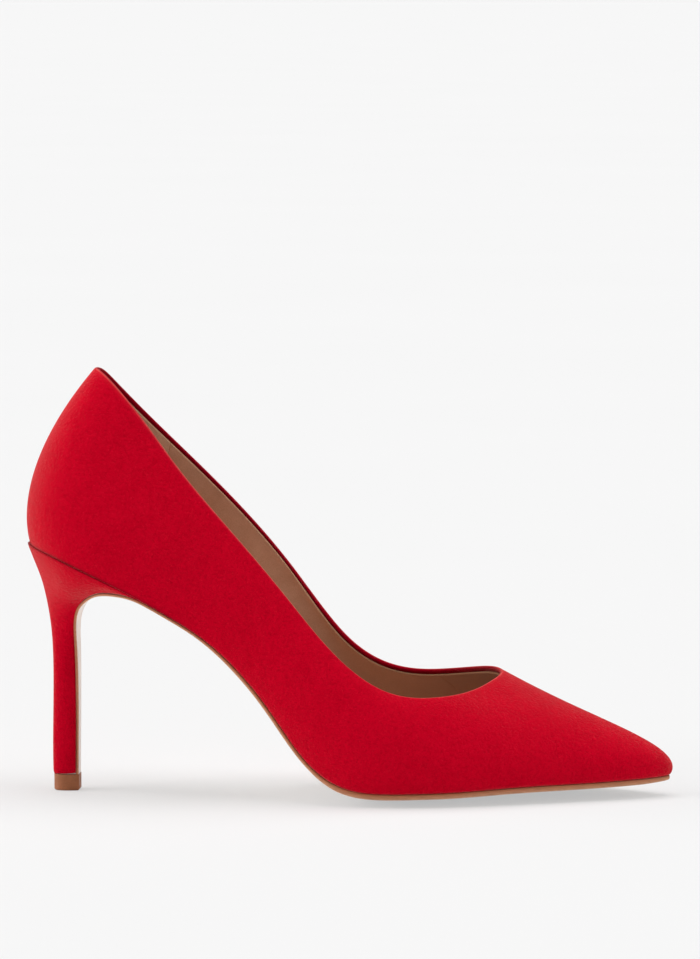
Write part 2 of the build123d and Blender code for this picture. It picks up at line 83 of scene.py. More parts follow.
# Outsole
SOLE_TOE = 1.4
SOLE_FOREPART = 2.0
SOLE_SHANK = 1.3
SOLE_ARCH = 1.0
SOLE_FLAP = 1.0
WING_TIP = 46.0

# Rounding of the bottom across the shoe: its curvature, and where it sets in and runs out
CROWN = 0.0023
CROWN_START = (60, 160)
CROWN_END = (185, 235)

# Lasting margin: the feather plan drawn in towards a point, and moved towards the inner side
MARGIN_CENTRE = 116
MARGIN_LENGTH = 0.92
MARGIN_WIDTH = 0.58
MARGIN_LEAN = 0.01
MARGIN_LEAN_FROM = 60

# Side view of the last's bottom, and of the breast: the sole's way down the front of the heel
SEAT_LINE = [(-6, 90.9), (0, 89.6), (10, 86.7), (22, 81.8), (34, 76.3), (45, 70.7), (55, 65.0), (66, 57.8),
             (76, 49.0), (83, 41.4), (90, 32.4), (97, 22.4), (104, 13.6), (112, 7.1), (120, 3.7), (130, 2.2),
             (142, 2.0), (156, 2.5), (172, 4.0), (190, 5.3), (207, 6.3), (221, 6.9), (232, 7.3), (238, 7.6)]
BREAST_LINE = [(40.0, 72.5), (33.0, 73.5), (27.0, 72.9), (22.3, 70.3), (18.9, 66.4), (17.5, 61.0),
               (17.5, 54.0), (17.8, 40.0), (17.75, 22.0), (17.6, 2.0)]
# Half width of the sole's flap at each point of the breast line
BREAST_HALF = [25.5, 23.2, 19.4, 14.3, 10.0, 7.2, 5.8, 4.4, 3.8, 3.3]

# The four closed loops of the master skin, from the back seam to the toe on each side
STATION_U = [0, 0.9, 1.8, 3.0, 4.5, 6.1, 7.7, 9.3, 10.9, 12.6, 14.3, 15.6, 16.5]
FEATHER_OUTER = [(1.3, 0), (4.6, -13), (13.5, -22), (30, -26.8), (52, -27), (76, -26.8), (100, -32),
                 (124, -37.5), (148, -36.5), (174, -28.5), (200, -17.5), (221, -7.5), (231.2, 2.5)]
FEATHER_INNER = [(4.6, 13), (13.5, 22), (30, 26.8), (52, 25.8), (76, 22.3), (100, 26),
                 (124, 34.5), (148, 38.5), (174, 34.5), (200, 23.5), (221, 12.3)]
BULGE_OUTER = [(-3.1, 0, 104.5), (0.8, -14, 103.5), (11, -24.5, 101.5), (30, -30.5, 95.5), (53, -31.5, 84.5),
               (77, -31.5, 65), (100.5, -37, 38), (122, -43, 20), (145.5, -41.5, 15.5), (172, -33, 14),
               (198, -21.5, 14.5), (220.5, -12.4, 16.6), (238.4, 2.7, 18)]
BULGE_INNER = [(0.8, 14, 103.5), (11, 24.5, 101.5), (30, 30.2, 96), (53, 30.2, 86), (77, 28.5, 67.5),
               (100.5, 32.5, 41), (122, 40, 22), (145.5, 42.5, 16.5), (172, 38, 15), (198, 27, 15),
               (220.5, 16.9, 16.8)]
SHOULDER_OUTER = [(3.2, 0, 127.5), (7, -10.5, 127), (16.5, -18, 124), (35, -22.5, 113.5), (55, -25.5, 98.5),
                  (76, -28, 81), (97.5, -33, 57), (119, -38.5, 38.5), (140.5, -38, 31), (163.5, -28.5, 31),
                  (184, -16, 30.2), (198, -6, 28.5), (203, 1.8, 26.9)]
SHOULDER_INNER = [(7, 10.5, 127), (16.5, 18, 124.3), (35, 22.5, 114.5), (55, 25.5, 100.5), (76, 28, 84),
                  (97.5, 32.5, 60), (119, 38.5, 40.5), (140.5, 38.5, 33), (163.5, 29.5, 33), (184, 18, 31.1),
                  (198, 9.5, 28.9)]
TOPLINE_OUTER = [(25, 0, 152.9), (27, -4.5, 152), (32.2, -8.8, 147.9), (43, -13.5, 135.9),
                 (57.5, -18.5, 117.4), (75, -22.5, 97.5), (94, -26, 75.9), (113, -30.5, 54.2),
                 (131.5, -31.5, 41), (149, -26, 38.4), (161.6, -15.5, 39.9), (168.2, -6.5, 42.6),
                 (170.6, 0.8, 44.3)]
TOPLINE_INNER = [(27, 4.5, 152), (32.2, 8.8, 146.4), (43, 13.5, 134.6), (57.5, 18.5, 119.6),
                 (75, 22.5, 101.3), (94, 26, 78.4), (113, 30, 53.4), (131.5, 31.5, 42.5),
                 (149, 26.5, 42.2), (161.3, 16.5, 44.4), (168.4, 8, 45.2)]

# Where the linings, the counter and the toe puff end
HEEL_GRIP_U = 3.8
COUNTER_U = 4.7
VAMP_U = 12.3
PUFF_U = 14.0
PUFF_V = 0.55

# Half outlines of the heel from the seat down, each from the back to the front edge
HEEL_LEVELS = [
    [(0.3, 0, 100), (4.2, 13.2, 100), (13.2, 22.3, 100), (30, 26.9, 100), (46.5, 26.6, 100), (53, 26.6, 100)],
    [(0.2, 0, 89.5), (4.2, 13.2, 88.5), (13.2, 22.3, 85.4), (30, 26.9, 78.2), (46.5, 26.8, 69.2),
     (53, 26.6, 63)],
    [(2.7, 0, 83.0), (6.2, 11.6, 82.2), (13.8, 19.7, 79.6), (25.8, 23.8, 76.4), (37, 24.8, 72.6),
     (43, 25.8, 68.8)],
    [(5.1, 0, 76.5), (8.2, 9.2, 75.4), (14.2, 15.2, 74), (20.8, 18.2, 73.1), (26.6, 19.3, 72.4),
     (32, 21.3, 70.8)],
    [(7.4, 0, 66.5), (9.0, 4.9, 66.5), (12.6, 8.0, 66.6), (16.2, 9.7, 66.8), (19.4, 10.5, 66.9),
     (23, 12.0, 66)],
    [(8.7, 0, 57), (9.7, 3.5, 57), (12.3, 5.4, 57), (15.0, 6.2, 57), (17.5, 6.2, 57), (20.6, 6.1, 57)],
    [(9.2, 0, 35), (10.0, 2.9, 35), (12.4, 4.2, 35), (15.2, 4.5, 35), (18.0, 4.2, 35), (21.0, 3.9, 35)],
    [(9.3, 0, 2), (10.1, 2.8, 2), (12.4, 3.9, 2), (15.2, 4.0, 2), (18.0, 3.5, 2), (21.0, 3.1, 2)],
]
LEVEL_V = [0, 2.0, 2.8, 3.9, 5.6, 7.2, 10.2, 14.6]
ROUND_U = [0, 1.3, 2.5, 4.0, 5.4, 6.2]

TURN = 2 * STATION_U[-1]
HEEL_HALF_U = ROUND_U[-1]
HEEL_FOOT_V = LEVEL_V[-1]
LINING_DEPTH = FOLD + GAP
LINING_LIFT = SUEDE + GAP
BOARD_INSET = LINING_DEPTH + LINING + BOARD_PLAY
TUCK_LOW = LINING_LIFT + LINING + GAP + BOARD + GAP
FOOT_SEARCH = (-0.12, 0.4)
ROOT = "root"


# Curves and the master skin
class Curve:
    """Cubic spline through values at increasing stations, closed or with not-a-knot ends."""

    def __init__(self, stations, values, closed=False):
        self.t = np.array(stations, float)
        self.p = np.array(values, float)
        self.closed = closed
        n, h = len(self.t), np.diff(self.t)
        rise = np.diff(self.p, axis=0) / h.reshape((-1,) + (1,) * (self.p.ndim - 1))
        left, right = np.zeros((n, n)), np.zeros(self.p.shape)
        for i in range(0 if closed else 1, n - 1):
            before, here = h[i - 1], h[i]
            left[i, i - 1 if i else n - 2] = here
            left[i, i] = 2 * (before + here)
            left[i, i + 1] = before
            right[i] = 3 * (here * rise[i - 1] + before * rise[i])
        if closed:
            left[-1, 0], left[-1, -1] = 1, -1
        else:
            for row, second, third in ((0, 1, 2), (n - 1, n - 2, n - 3)):
                one, two = (0, 1) if row == 0 else (n - 2, n - 3)
                left[row, row] = h[two] ** 2
                left[row, second] = h[two] ** 2 - h[one] ** 2
                left[row, third] = -h[one] ** 2
                right[row] = 2 * (rise[one] * h[two] ** 2 - rise[two] * h[one] ** 2)
        self.m = np.linalg.solve(left, right.reshape(n, -1)).reshape(self.p.shape)

    def __call__(self, at, slope=False):
        at = np.asarray(at, float)
        if self.closed:
            at = self.t[0] + (at - self.t[0]) % (self.t[-1] - self.t[0])
        i = np.clip(np.searchsorted(self.t, at, "right") - 1, 0, len(self.t) - 2)
        pad = (...,) + (None,) * (self.p.ndim - 1)
        h = (self.t[i + 1] - self.t[i])[pad]
        s = (at - self.t[i])[pad] / h
        p0, p1, m0, m1 = self.p[i], self.p[i + 1], self.m[i] * h, self.m[i + 1] * h
        if slope:
            return (6 * s * (s - 1) * (p0 - p1) + (3 * s - 1) * (s - 1) * m0 + (3 * s - 2) * s * m1) / h
        return ((1 + 2 * s) * (1 - s) ** 2 * p0 + s * (1 - s) ** 2 * m0
                + s * s * (3 - 2 * s) * p1 + s * s * (s - 1) * m1)


def unit(vec):
    return vec / np.linalg.norm(vec, axis=-1, keepdims=True)


def solve(f, low, high, shape):
    """Root of an increasing or decreasing f between low and high, for every element at once."""
    low, high = np.full(shape, float(low)), np.full(shape, float(high))
    rising = f(high) > f(low)
    for _ in range(40):
        mid = (low + high) / 2
        up = (f(mid) > 0) == rising
        low, high = np.where(up, low, mid), np.where(up, mid, high)
    return (low + high) / 2


def fade(x, start, stop):
    """1 before start, 0 past stop, smooth between."""
    t = np.clip((stop - x) / (stop - start), 0, 1)
    return t * t * (3 - 2 * t)


def hump(q):
    """0 at both ends of 0 to 1, and 1 in the middle."""
    return 1 - (2 * q - 1) ** 2


def ease(t):
    """Steps of t from 0 to 1, made finest at both ends."""
    return (1 - np.cos(pi * t)) / 2


def loop(outer, inner):
    stations = STATION_U + [TURN - u for u in reversed(STATION_U[1:-1])] + [TURN]
    return Curve(stations, outer + inner[::-1] + outer[:1], closed=True)


feather_plan = loop(FEATHER_OUTER, FEATHER_INNER)
bulge = loop(BULGE_OUTER, BULGE_INNER)
shoulder = loop(SHOULDER_OUTER, SHOULDER_INNER)
topline = loop(TOPLINE_OUTER, TOPLINE_INNER)
seat_height = Curve([x for x, z in SEAT_LINE], [z for x, z in SEAT_LINE])


def seat_slope(x):
    return seat_height(x, slope=True)


def seat_cos(x):
    return 1 / np.sqrt(1 + seat_slope(x) ** 2)


def crown(x):
    return CROWN * (1 - fade(x, *CROWN_START)) * fade(x, *CROWN_END)


def seat(x, y):
    """Height of the last's bottom: the seat line, rounded up to both sides under the forepart."""
    return seat_height(x) + crown(x) * y * y


def bezier(points, t):
    """Bezier curve over any number of control points."""
    top = len(points) - 1
    return sum(comb(top, i) * t ** i * (1 - t) ** (top - i) * points[i] for i in range(top + 1))


def skin(u, v):
    """Point, outward normal and upward tangent of the master skin."""
    u, v = np.broadcast_arrays(np.asarray(u, float), np.asarray(v, float))
    plan, turn = feather_plan(u), feather_plan(u, slope=True)
    x, y = plan[..., 0], plan[..., 1]
    foot = np.stack([x, y, seat(x, y)], -1)
    step = 0.01
    climb = (seat(x + step * turn[..., 0], y + step * turn[..., 1]) - foot[..., 2]) / step
    foot_turn = np.stack([turn[..., 0], turn[..., 1], climb], -1)
    rails = [foot, bulge(u), shoulder(u), topline(u)]
    turns = [foot_turn, bulge(u, True), shoulder(u, True), topline(u, True)]
    w = v[..., None]
    rise = bezier([after - before for before, after in zip(rails, rails[1:])], w)
    return bezier(rails, w), unit(np.cross(bezier(turns, w), rise)), unit(rise)


def wall(u, v, depth):
    point, normal, rise = skin(u, v)
    return point - np.asarray(depth, float)[..., None] * normal


def wall_foot(u, depth, lift):
    """v at which a layer stands the given height above the seat line."""
    def height(v):
        p = wall(u, v, depth)
        return p[..., 2] - seat(p[..., 0], p[..., 1]) - lift / seat_cos(p[..., 0])
    return solve(height, *FOOT_SEARCH, np.shape(u))


def wall_head(u, drop):
    """v at the given distance below the topline."""
    return 1 - drop / (3 * np.linalg.norm(topline(u) - shoulder(u), axis=-1))


def margin_edge(u):
    plan = feather_plan(u)
    x, y = plan[..., 0], plan[..., 1]
    return np.stack([MARGIN_CENTRE + (x - MARGIN_CENTRE) * MARGIN_LENGTH,
                     y * MARGIN_WIDTH + MARGIN_LEAN * np.maximum(0, x - MARGIN_LEAN_FROM)], -1)


def margin(u, q, depth, lift):
    """Lasting margin, from its inner edge at q = 0 to the foot of the wall at q = 1."""
    foot = wall(u, wall_foot(u, depth, lift), depth)[..., :2]
    plan = margin_edge(u) + (foot - margin_edge(u)) * q
    x, y = plan[..., 0], plan[..., 1]
    return np.concatenate([plan, (seat(x, y) + lift / seat_cos(x))[..., None]], -1)


# Meshes
low_corner = skin(np.linspace(0, TURN, 1200)[:, None], np.linspace(0, 1, 120)[None, :])[0].min((0, 1))
MOVE = np.array(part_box("upper")[0]) * 1000 - low_corner
MOVE[2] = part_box("top_piece")[0][2] * 1000


def to_frame(points):
    return (np.asarray(points) + MOVE) / 1000


def make_object(name, points, faces, materials, indices=None, values=None, sharp=38):
    """Smooth-shaded piece from points in millimetres, with edges sharper than sharp degrees kept hard."""
    mesh = bpy.data.meshes.new(name)
    mesh.from_pydata(to_frame(points).tolist(), [], [list(f) for f in faces])
    for material in materials:
        mesh.materials.append(material)
    if indices is not None:
        mesh.polygons.foreach_set("material_index", np.array(indices, np.int32))
    for key, value in (values or {}).items():
        attribute = mesh.attributes.new(key, "FLOAT", "POINT")
        attribute.data.foreach_set("value", np.array(value, np.float32))
    bm = bmesh.new()
    bm.from_mesh(mesh)
    bmesh.ops.recalc_face_normals(bm, faces=bm.faces)
    for face in bm.faces:
        face.smooth = True
    for edge in bm.edges:
        edge.smooth = not (edge.is_manifold and edge.calc_face_angle(0) > radians(sharp))
    bm.to_mesh(mesh)
    bm.free()
    piece = bpy.data.objects.new(name, mesh)
    bpy.context.scene.collection.objects.link(piece)
    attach(piece, ROOT)
    return piece


def finished(piece, node):
    """Hides the CAD part that the piece stands for."""
    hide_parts(node)
    return piece


def grid_faces(rows, columns, wrap_rows=False, wrap_columns=False):
    faces = []
    for i in range(rows if wrap_rows else rows - 1):
        for j in range(columns if wrap_columns else columns - 1):
            a, b = (i + 1) % rows, (j + 1) % columns
            faces.append((i * columns + j, a * columns + j, a * columns + b, i * columns + b))
    return faces


def slab(name, front, back, materials, values=None, bevel=0.0):
    """Piece between a front and a back grid of points, closed by a rim. Materials: front, back, rim."""
    rows, columns = front.shape[:2]
    count = rows * columns
    points = np.concatenate([front.reshape(-1, 3), back.reshape(-1, 3)])
    front_faces = grid_faces(rows, columns)
    back_faces = [tuple(i + count for i in reversed(f)) for f in front_faces]
    faces = front_faces + back_faces
    indices = [0] * len(front_faces) + [1] * len(back_faces)
    sides = [range(0, count, columns), range(columns - 1, count, columns),
             range(columns), range(count - columns, count)]
    for side in sides:
        for a, b in zip(side, side[1:]):
            faces.append((a, b, b + count, a + count))
            indices.append(2)
    doubled = {key: np.concatenate([value.ravel()] * 2) for key, value in (values or {}).items()}
    piece = make_object(name, points, faces, materials, indices, doubled)
    if bevel:
        edge = piece.modifiers.new("eased edge", "BEVEL")
        edge.width = bevel / 1000
        edge.segments = 2
        edge.limit_method = "ANGLE"
        edge.angle_limit = radians(50)
    return piece


# Materials
def grey(level):
    return (level, level, level, 1.0)


def srgb(*display):
    """Linear colour from 8-bit display values."""
    shares = [value / 255 for value in display]
    return tuple(s / 12.92 if s < 0.04045 else ((s + 0.055) / 1.055) ** 2.4 for s in shares) + (1.0,)


class Look:
    """Small helper for building one procedural material."""

    def __init__(self, name, **constants):
        self.material = bpy.data.materials.new(name)
        self.material.use_nodes = True
        self.nodes, self.links = self.material.node_tree.nodes, self.material.node_tree.links
        self.shader = self.nodes["Principled BSDF"]
        for key, value in constants.items():
            self.shader.inputs[key.replace("_", " ")].default_value = value
        self.place = self.nodes.new("ShaderNodeTexCoord").outputs["Object"]

    def node(self, kind, inputs=(), **settings):
        node = self.nodes.new("ShaderNode" + kind)
        for key, value in settings.items():
            setattr(node, key, value)
        for key, value in dict(inputs).items():
            if isinstance(value, bpy.types.NodeSocket):
                self.links.new(value, node.inputs[key])
            else:
                node.inputs[key].default_value = value
        return node

    def noise(self, size, detail=4.0, rough=0.55, stretch=None, warp=0.0):
        """Noise whose features are about size millimetres across."""
        place = self.place
        if stretch:
            place = self.node("Mapping", {"Vector": place, "Scale": stretch}).outputs[0]
        return self.node("TexNoise", {"Vector": place, "Scale": 1000 / size, "Detail": detail,
                                      "Roughness": rough, "Distortion": warp}).outputs["Fac"]

    def cells(self, size):
        inputs = {"Vector": self.place, "Scale": 1000 / size}
        return self.node("TexVoronoi", inputs, feature="F1").outputs["Distance"]

    def ramp(self, value, stops):
        node = self.node("ValToRGB", {"Fac": value})
        while len(node.color_ramp.elements) < len(stops):
            node.color_ramp.elements.new(0.5)
        for element, (at, colour) in zip(node.color_ramp.elements, stops):
            element.position, element.color = at, colour
        return node.outputs["Color"]

    def share(self, value, *stops):
        """Amount from 0 to 1, read off a ramp of (value, amount) stops."""
        return self.ramp(value, [(at, grey(level)) for at, level in stops])

    def mix(self, amount, a, b):
        return self.node("Mix", {0: amount, 6: a, 7: b}, data_type="RGBA").outputs[2]

    def attribute(self, name):
        return self.node("Attribute", attribute_name=name).outputs["Fac"]

    def bump(self, layers):
        """Stack of (height socket, depth in millimetres, strength)."""
        normal = None
        for height, depth, strength in layers:
            inputs = {"Height": height, "Distance": depth / 1000, "Strength": strength}
            if normal:
                inputs["Normal"] = normal
            normal = self.node("Bump", inputs).outputs["Normal"]
        self.links.new(normal, self.shader.inputs["Normal"])

    def colour(self, socket):
        self.links.new(socket, self.shader.inputs["Base Color"])

    def roughness(self, value, low, high):
        node = self.node("MapRange", {"Value": value, "To Min": low, "To Max": high})
        self.links.new(node.outputs[0], self.shader.inputs["Roughness"])

    def glow(self, amount, strength):
        times = self.node("Math", {0: amount, 1: strength}, operation="MULTIPLY")
        self.shader.inputs["Emission Color"].default_value = grey(1)
        self.links.new(times.outputs[0], self.shader.inputs["Emission Strength"])


def suede_look():
    """Red goat suede: short nap with grain and brushed patches, with a painted highlight on the fold and
    painted shade inside it.
    """
    look = Look("suede_red", Specular_IOR_Level=0.0, Sheen_Weight=0.5, Sheen_Roughness=0.3,
                Sheen_Tint=(1.0, 0.6, 0.5, 1.0))
    grain = look.noise(1.0, 5, 0.74)
    fleck = look.noise(0.42, 2, 0.6)
    nap = look.noise(3.2, 4, 0.62, stretch=(1.0, 1.0, 0.5), warp=0.4)
    patch = look.noise(30, 3, 0.55, warp=0.6)
    base = look.ramp(patch, [(0.25, srgb(196, 0, 32)), (0.75, srgb(208, 0, 36))])
    base = look.mix(look.share(nap, (0.35, 0), (0.8, 0.6)), base, srgb(216, 6, 40))
    base = look.mix(look.share(grain, (0.34, 0.42), (0.55, 0)), base, srgb(158, 0, 22))
    base = look.mix(look.share(fleck, (0.57, 0), (0.78, 0.5)), base, srgb(236, 42, 58))
    # painted highlight: a pale pink line along the crest of the folded topline
    base = look.mix(look.attribute("fold_highlight"), base, srgb(238, 96, 92))
    # painted shade: dark maroon on the hem and the inner half of the roll, where the fold turns inside
    base = look.mix(look.attribute("inside"), base, srgb(124, 0, 22))
    base = look.mix(look.attribute("shade"), base, srgb(150, 0, 26))
    look.colour(base)
    look.roughness(grain, 0.85, 1.0)
    look.bump([(patch, 0.3, 0.35), (nap, 0.16, 0.6), (grain, 0.5, 1.0)])
    return look.material


def lining_look(name, light, dark, rough):
    """Smooth drum-dyed lining leather: fine pore grain, soft tone changes, and painted shade deep in the toe.
    """
    look = Look(name, Specular_IOR_Level=0.32)
    tone = look.noise(14, 3, 0.5, warp=0.5)
    pores = look.cells(0.55)
    fine = look.noise(0.35, 4, 0.6)
    base = look.ramp(tone, [(0.25, dark), (0.75, light)])
    base = look.mix(look.share(fine, (0.35, 0.25), (0.6, 0)), base, srgb(140, 94, 66))
    # painted shade: darker and greyer towards the toe, deep inside the shoe
    base = look.mix(look.attribute("toe_shade"), base, srgb(150, 116, 98))
    look.colour(base)
    look.roughness(tone, rough, rough + 0.14)
    look.bump([(tone, 0.15, 0.3), (pores, 0.05, 0.35), (fine, 0.03, 0.4)])
    return look.material


def raw_edge_look():
    """Cut edge of the lining leather: paler and fibrous."""
    look = Look("lining_cut_edge", Specular_IOR_Level=0.2)
    fibre = look.noise(0.3, 5, 0.7)
    look.colour(look.ramp(fibre, [(0.3, srgb(160, 114, 84)), (0.7, srgb(196, 150, 116))]))
    look.roughness(fibre, 0.75, 0.95)
    look.bump([(fibre, 0.05, 0.5)])
    return look.material


def sole_look():
    """Sole leather with a light finish, faint grain and rub marks; its near-white tone is partly the
    leather's own and partly a painted reflection of the white backdrop.
    """
    look = Look("sole_face", Specular_IOR_Level=0.45, Coat_Weight=0.25, Coat_Roughness=0.22)
    cloud = look.noise(30, 4, 0.55, warp=0.8)
    grain = look.noise(0.6, 5, 0.65)
    rub = look.noise(3.0, 5, 0.6, stretch=(0.25, 1.0, 1.0), warp=0.3)
    # the near-white tones are partly the pale leather and partly a painted reflection of the white backdrop
    base = look.ramp(cloud, [(0.25, srgb(238, 220, 208)), (0.75, srgb(246, 234, 226))])
    base = look.mix(look.share(rub, (0.55, 0), (0.8, 0.3)), base, srgb(220, 198, 182))
    base = look.mix(look.share(grain, (0.3, 0.22), (0.5, 0)), base, srgb(204, 178, 160))
    look.colour(base)
    look.roughness(rub, 0.34, 0.52)
    look.bump([(grain, 0.04, 0.35), (rub, 0.03, 0.25)])
    return look.material


def sole_edge_look():
    """Stained and burnished sole edge: brown at the upper, lighter towards the walking side."""
    look = Look("sole_edge", Specular_IOR_Level=0.35)
    streak = look.noise(1.2, 4, 0.6, stretch=(0.35, 0.35, 2.2))
    stain = [(0.0, srgb(168, 98, 62)), (0.45, srgb(192, 124, 86)), (1.0, srgb(216, 164, 128))]
    base = look.ramp(look.attribute("low"), stain)
    base = look.mix(look.share(streak, (0.35, 0.4), (0.65, 0)), base, srgb(150, 92, 60))
    look.colour(base)
    look.roughness(streak, 0.42, 0.6)
    look.bump([(streak, 0.04, 0.4)])
    return look.material


def rubber_look():
    """Moulded top piece: brown-tan plastic, satin, with a finely scuffed surface."""
    look = Look("top_piece_tpu", Specular_IOR_Level=0.4)
    fine = look.noise(0.4, 4, 0.6)
    cloud = look.noise(5, 3, 0.5)
    base = look.ramp(cloud, [(0.3, srgb(160, 94, 56)), (0.7, srgb(176, 108, 68))])
    look.colour(look.mix(look.share(fine, (0.35, 0.3), (0.6, 0)), base, srgb(124, 72, 42)))
    look.roughness(fine, 0.42, 0.62)
    look.bump([(fine, 0.04, 0.4)])
    return look.material


def plain_look(name, dark, light, size, rough, metal=0.0, stretch=None):
    """Hidden parts: two tones of the real stuff with its own grain."""
    look = Look(name, Specular_IOR_Level=0.4, Metallic=metal)
    grain = look.noise(size, 5, 0.62, stretch=stretch)
    look.colour(look.ramp(grain, [(0.3, dark), (0.7, light)]))
    look.roughness(grain, rough, min(1.0, rough + 0.18))
    look.bump([(grain, 0.06, 0.4)])
    return look.material


suede = suede_look()
lining = lining_look("lining_leather", srgb(222, 177, 149), srgb(206, 160, 132), 0.5)
grip = lining_look("grip_leather", srgb(232, 194, 166), srgb(216, 176, 148), 0.72)
cut_edge = raw_edge_look()
sole_face = sole_look()
sole_edge = sole_edge_look()
rubber = rubber_look()
board_look = plain_look("fibre_board", srgb(150, 118, 84), srgb(186, 154, 116), 0.9, 0.8)
steel_look = plain_look("steel", srgb(120, 122, 126), srgb(176, 178, 182), 0.5, 0.3, 1.0, (0.2, 1, 1))
abs_look = plain_look("heel_plastic", srgb(196, 190, 176), srgb(216, 210, 198), 2.0, 0.4)
foam_look = plain_look("latex_foam", srgb(214, 202, 160), srgb(236, 226, 190), 0.5, 0.85)
cloth_look = plain_look("backing_cloth", srgb(208, 204, 196), srgb(234, 232, 226), 0.4, 0.9)
stiff_look = plain_look("stiffener", srgb(190, 178, 150), srgb(222, 212, 188), 0.7, 0.7)
felt_look = plain_look("bottom_filler", srgb(120, 112, 100), srgb(160, 150, 136), 0.7, 0.95)


# Upper: one closed skin from the folded hem, over the topline, down the wall and under the last
# (SEAM_ROWS are extra stations beside the back seam, and SEAM_SCALE turns u into millimetres there)
UPPER_ROWS = 460
SEAM_ROWS = [0.015, 0.03, 0.045, 0.065, 0.09, 0.13]
SEAM_SCALE = 11.0
SEAM_DEPTH = 0.32
SEAM_WIDTH = 0.55
FEATHER_ROUND = 1.1
WALL_STEPS = 60
ROLL_STEPS = 9
# Painted highlight on the crest of the topline roll: its strength and width in millimetres
FOLD_HIGHLIGHT_TONE = 0.8
FOLD_HIGHLIGHT_WIDTH = 0.34
# Painted shade inside the fold: its strength
INSIDE_SHADE_TONE = 0.95
HEEL_SHADE_U = 5.6
HEEL_SHADE_RUN = 1.2


def upper_grid(u):
    """Rings of points round the shoe, one column each, and how many of them are the hem."""
    around = u[:, 0]
    roll = FOLD / 2

    def head(drop):
        return wall_head(around, drop)[:, None]

    def steps(start, stop, count):
        return np.linspace(0, 1, count)[None, :] * (stop - start) + start

    hem = wall(u, steps(head(FOLD_WIDTH), head(roll), 7), FOLD)
    centre, normal, rise = skin(u, head(roll))
    centre = centre - roll * normal
    angles = np.linspace(pi, 0, ROLL_STEPS + 2)[1:-1]
    turned = np.concatenate([centre + roll * (cos(a) * normal + sin(a) * rise) for a in angles], 1)
    first_rail = np.linalg.norm(bulge(around) - skin(around, 0.0)[0], axis=-1)
    foot = FEATHER_ROUND / (3 * first_rail)[:, None]
    v = steps(head(roll), foot, WALL_STEPS)
    seam = np.minimum(u, TURN - u) * SEAM_SCALE
    groove = SEAM_DEPTH * np.exp(-(seam / SEAM_WIDTH) ** 2)
    outside = wall(u, v, np.broadcast_to(groove, v.shape))
    corner, flat = (margin(around, q, 0.0, 0.0)[:, None, :] for q in (1.0, 0.9))
    away = corner + unit(flat - corner) * FEATHER_ROUND
    round_foot = [outside[:, -1:, :], corner, away]
    bend = np.concatenate([bezier(round_foot, t) for t in (0.2, 0.4, 0.6, 0.8, 1.0)], 1)
    under = np.stack([margin(around, q, 0.0, 0.0) for q in (0.8, 0.4, 0.0)], 1)
    over = np.stack([margin(around, q, SUEDE, SUEDE) for q in (0.0, 0.5, 0.92)], 1)
    inner_foot = wall_foot(around, SUEDE, SUEDE)[:, None]
    back = wall(u, steps(inner_foot, head(FOLD_WIDTH + 0.3), 14), SUEDE)
    return np.concatenate([hem, turned, outside, bend, under, over, back], 1), hem.shape[1]


def make_upper():
    near = np.array(SEAM_ROWS)
    even = np.linspace(0, TURN, UPPER_ROWS, endpoint=False)
    u = np.unique(np.concatenate([even, near, TURN - near]))[:, None]
    grid, first = upper_grid(u)
    rows, columns = grid.shape[:2]
    rolled = first + ROLL_STEPS
    last = rolled + WALL_STEPS

    along = np.linalg.norm(np.diff(grid, axis=1), axis=-1).cumsum(1)
    along = np.concatenate([np.zeros((rows, 1)), along], 1)
    # painted highlight along the crest of the roll at the topline
    fold_highlight = FOLD_HIGHLIGHT_TONE * np.exp(-((along - along[:, [rolled - 2]]) / FOLD_HIGHLIGHT_WIDTH) ** 2)
    fold_highlight[:, last - 1:] = 0
    # painted shade inside the fold: the hem and the inner half of the roll
    inside = np.zeros((rows, columns))
    inside[:, :first] = INSIDE_SHADE_TONE
    inside[:, first:rolled] = INSIDE_SHADE_TONE * np.linspace(1, 0, ROLL_STEPS) ** 0.6
    shade = np.zeros((rows, columns))
    by_heel = np.clip((HEEL_SHADE_U - np.minimum(u, TURN - u)) / HEEL_SHADE_RUN, 0, 1)
    shade[:, last - 1:last + 2] = by_heel * np.array([[0.3, 0.8, 1.0]])

    faces = grid_faces(rows, columns, wrap_rows=True, wrap_columns=True)
    values = {"fold_highlight": fold_highlight.ravel(), "inside": inside.ravel(), "shade": shade.ravel()}
    piece = make_object("upper_suede", grid.reshape(-1, 3), faces, [suede], values=values, sharp=70)
    finished(piece, "upper")


# Linings and stiffeners
LINING_ROWS = 130
# Painted shade in the lining: where it starts along the shoe and how far it runs to full strength
TOE_SHADE_FROM = 75
TOE_SHADE_RUN = 95


def lining_piece(name, node, start, stop, look):
    """Lining leather, closed all round, with its own lasting margin."""
    u = np.linspace(start, stop, LINING_ROWS)
    sides = []
    for depth, lift in ((LINING_DEPTH + LINING, LINING_LIFT + LINING), (LINING_DEPTH, LINING_LIFT)):
        low, high = wall_foot(u, depth, lift), wall_head(u, LINING_DROP)
        part = [margin(u, q, depth, lift) for q in (0.0, 0.4, 0.75, 0.93)]
        part += [wall(u, low + (high - low) * q, depth) for q in np.linspace(0, 1, 34)]
        sides.append(np.stack(part, 1))
    # painted shade, growing towards the toe
    toe_shade = np.clip((sides[0][..., 0] - TOE_SHADE_FROM) / TOE_SHADE_RUN, 0, 1) ** 1.3
    piece = slab(name, sides[0], sides[1], [look, look, cut_edge], values={"toe_shade": toe_shade}, bevel=0.16)
    finished(piece, node)


def wall_slab(name, node, u, low, high, look):
    """Stiffener or backing between the suede and the lining."""
    depth = SUEDE + GAP
    v = low[:, None] + (high - low)[:, None] * np.linspace(0, 1, 18)[None, :]
    inside = wall(u[:, None], v, depth + STIFFENER)
    outside = wall(u[:, None], v, depth)
    finished(slab(name, inside, outside, [look, look, look], bevel=0.1), node)


